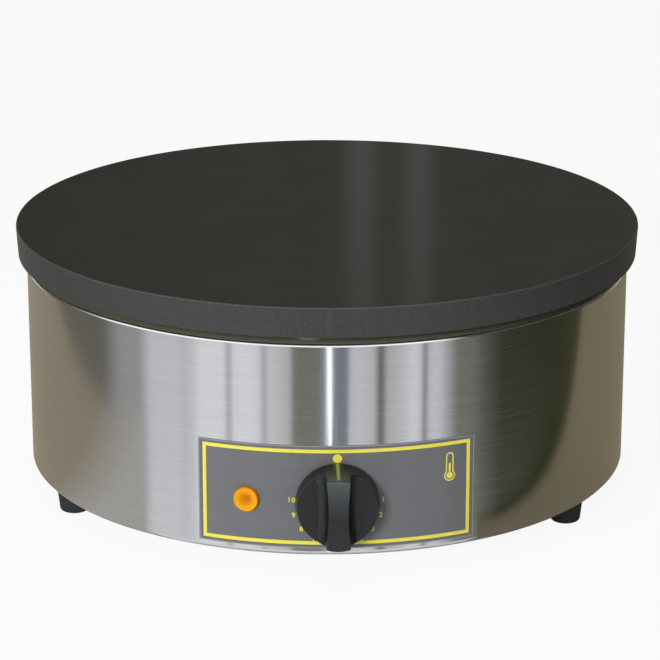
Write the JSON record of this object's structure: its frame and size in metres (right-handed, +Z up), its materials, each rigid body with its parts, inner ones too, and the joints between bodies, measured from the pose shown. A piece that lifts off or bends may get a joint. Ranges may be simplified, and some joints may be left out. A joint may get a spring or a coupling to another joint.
{
  "type": "electric crepe maker",
  "caption": "Round lidless electric crepe maker: cast-iron griddle plate on a brushed steel drum with a front thermostat knob, pilot lamp and rubber feet.",
  "frame": {"origin": "on the counter, under the centre of the plate and of the round body", "axes": "+Z up through the centre of the plate; -Y towards the cook, where the knob is; +Y towards the rear, where the cable gland is; +X to the cook's right"},
  "size_m": [0.3998, 0.4375, 0.1715],
  "materials": {
    "cast_iron": "matte seasoned cast iron",
    "brushed_steel": "brushed with the grain running round the body",
    "cover_steel": "plain zinc-coated sheet",
    "fastener_steel": "zinc plated",
    "sheath_steel": "heat-tinted stainless sheath",
    "copper": "bare copper, satin",
    "brass": "satin",
    "ceramic": "glazed porcelain",
    "insulation": "matte mineral-wool board",
    "rubber_black": "matte",
    "label_grey": "satin printed polyester film",
    "knob_black": "fine matte moulded texture",
    "pointer_green": "satin",
    "lens_amber": "gloss translucent",
    "plastic_black": "satin",
    "neon_glass": "gloss",
    "lead_brown": "satin silicone",
    "lead_black": "satin silicone",
    "lead_blue": "satin silicone",
    "lead_green": "satin silicone"
  },
  "bodies": {
    "base": {"griddle_plate": "cast_iron", "plate_spacers": "ceramic", "plate_washers": "fastener_steel", "plate_bolts": "fastener_steel", "drum_shell": "brushed_steel", "bottom_cover": "cover_steel", "cover_screws": "fastener_steel", "foot_front_left": "rubber_black", "foot_front_right": "rubber_black", "foot_rear": "rubber_black", "foot_screws": "fastener_steel", "foot_washers": "fastener_steel", "foot_nuts": "fastener_steel", "heating_element_outer": "sheath_steel", "heating_element_inner": "sheath_steel", "element_beads": "ceramic", "element_terminals": "fastener_steel", "clamp_bars": "cover_steel", "clamp_studs": "fastener_steel", "clamp_nuts": "fastener_steel", "tray_spacers": "fastener_steel", "insulation_disc": "insulation", "insulation_tray": "cover_steel", "tray_washers": "fastener_steel", "tray_nuts": "fastener_steel", "thermostat_saddle": "cover_steel", "thermostat_plate": "cover_steel", "thermostat_body": "plastic_black", "thermostat_screws": "fastener_steel", "thermostat_terminals": "brass", "thermostat_bulb": "copper", "thermostat_capillary": "copper", "bulb_clip": "cover_steel", "bulb_clip_screw": "fastener_steel", "control_label": "label_grey", "pilot_lens": "lens_amber", "pilot_housing": "plastic_black", "pilot_neon": "neon_glass", "pilot_clip": "fastener_steel", "pilot_terminals": "fastener_steel", "gland_washer": "rubber_black", "gland_body": "plastic_black", "gland_locknut": "plastic_black", "gland_seal": "rubber_black", "gland_dome_nut": "plastic_black", "terminal_block": "ceramic", "terminal_inserts": "brass", "terminal_screws": "fastener_steel", "block_screws": "fastener_steel", "earth_screw": "fastener_steel", "earth_nut": "brass", "lead_live": "lead_brown", "leads_switched": "lead_black", "leads_neutral": "lead_blue", "lead_earth": "lead_green"},
    "knob": {"control_knob": "knob_black", "knob_pointer": "pointer_green", "knob_spring": "fastener_steel", "thermostat_spindle": "cover_steel"}
  },
  "joints": [
    {"name": "knob_turn", "type": "hinge", "parent": "base", "child": "knob", "pos_m": [0, -0.2, 0.0482], "axis": [0, 1, 0], "range_deg": [0, 272]}
  ]
}
